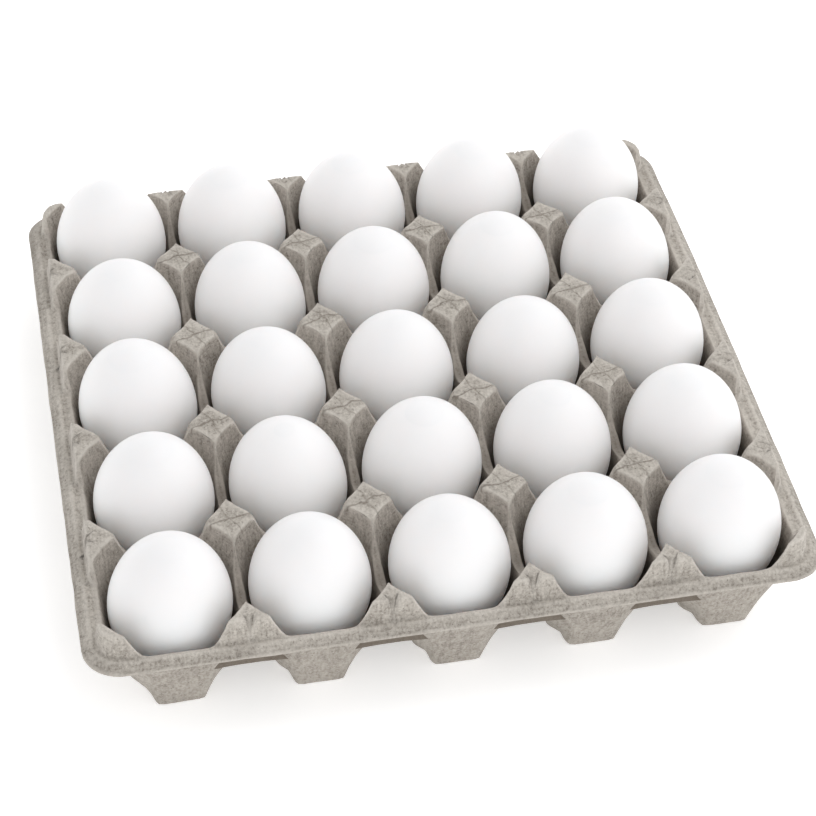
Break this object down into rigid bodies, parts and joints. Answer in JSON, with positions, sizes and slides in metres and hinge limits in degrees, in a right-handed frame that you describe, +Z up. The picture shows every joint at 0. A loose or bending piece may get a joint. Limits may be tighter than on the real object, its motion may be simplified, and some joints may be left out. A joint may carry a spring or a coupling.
{
  "type": "open egg tray with eggs",
  "caption": "Open square tray of moulded paper pulp with star-shaped posts between its cups and a turned-down rim, every cup holding a plain white egg.",
  "frame": {"origin": "on the table under the middle of the tray, in the plane of its feet", "axes": "+Z up out of the cups, +X along the slightly longer side, +Y across the tray to the side farther from the viewer"},
  "size_m": [0.262, 0.256, 0.0625],
  "materials": {
    "pulp": "matte grey-beige recycled paper pulp, rough and fibrous",
    "eggshell": "smooth satin white eggshell"
  },
  "bodies": {
    "root": {"tray": "pulp", "egg_1_1": "eggshell", "egg_1_2": "eggshell", "egg_1_3": "eggshell", "egg_1_4": "eggshell", "egg_1_5": "eggshell", "egg_2_1": "eggshell", "egg_2_2": "eggshell", "egg_2_3": "eggshell", "egg_2_4": "eggshell", "egg_2_5": "eggshell", "egg_3_1": "eggshell", "egg_3_2": "eggshell", "egg_3_3": "eggshell", "egg_3_4": "eggshell", "egg_3_5": "eggshell", "egg_4_1": "eggshell", "egg_4_2": "eggshell", "egg_4_3": "eggshell", "egg_4_4": "eggshell", "egg_4_5": "eggshell", "egg_5_1": "eggshell", "egg_5_2": "eggshell", "egg_5_3": "eggshell", "egg_5_4": "eggshell", "egg_5_5": "eggshell"}
  },
  "joints": []
}
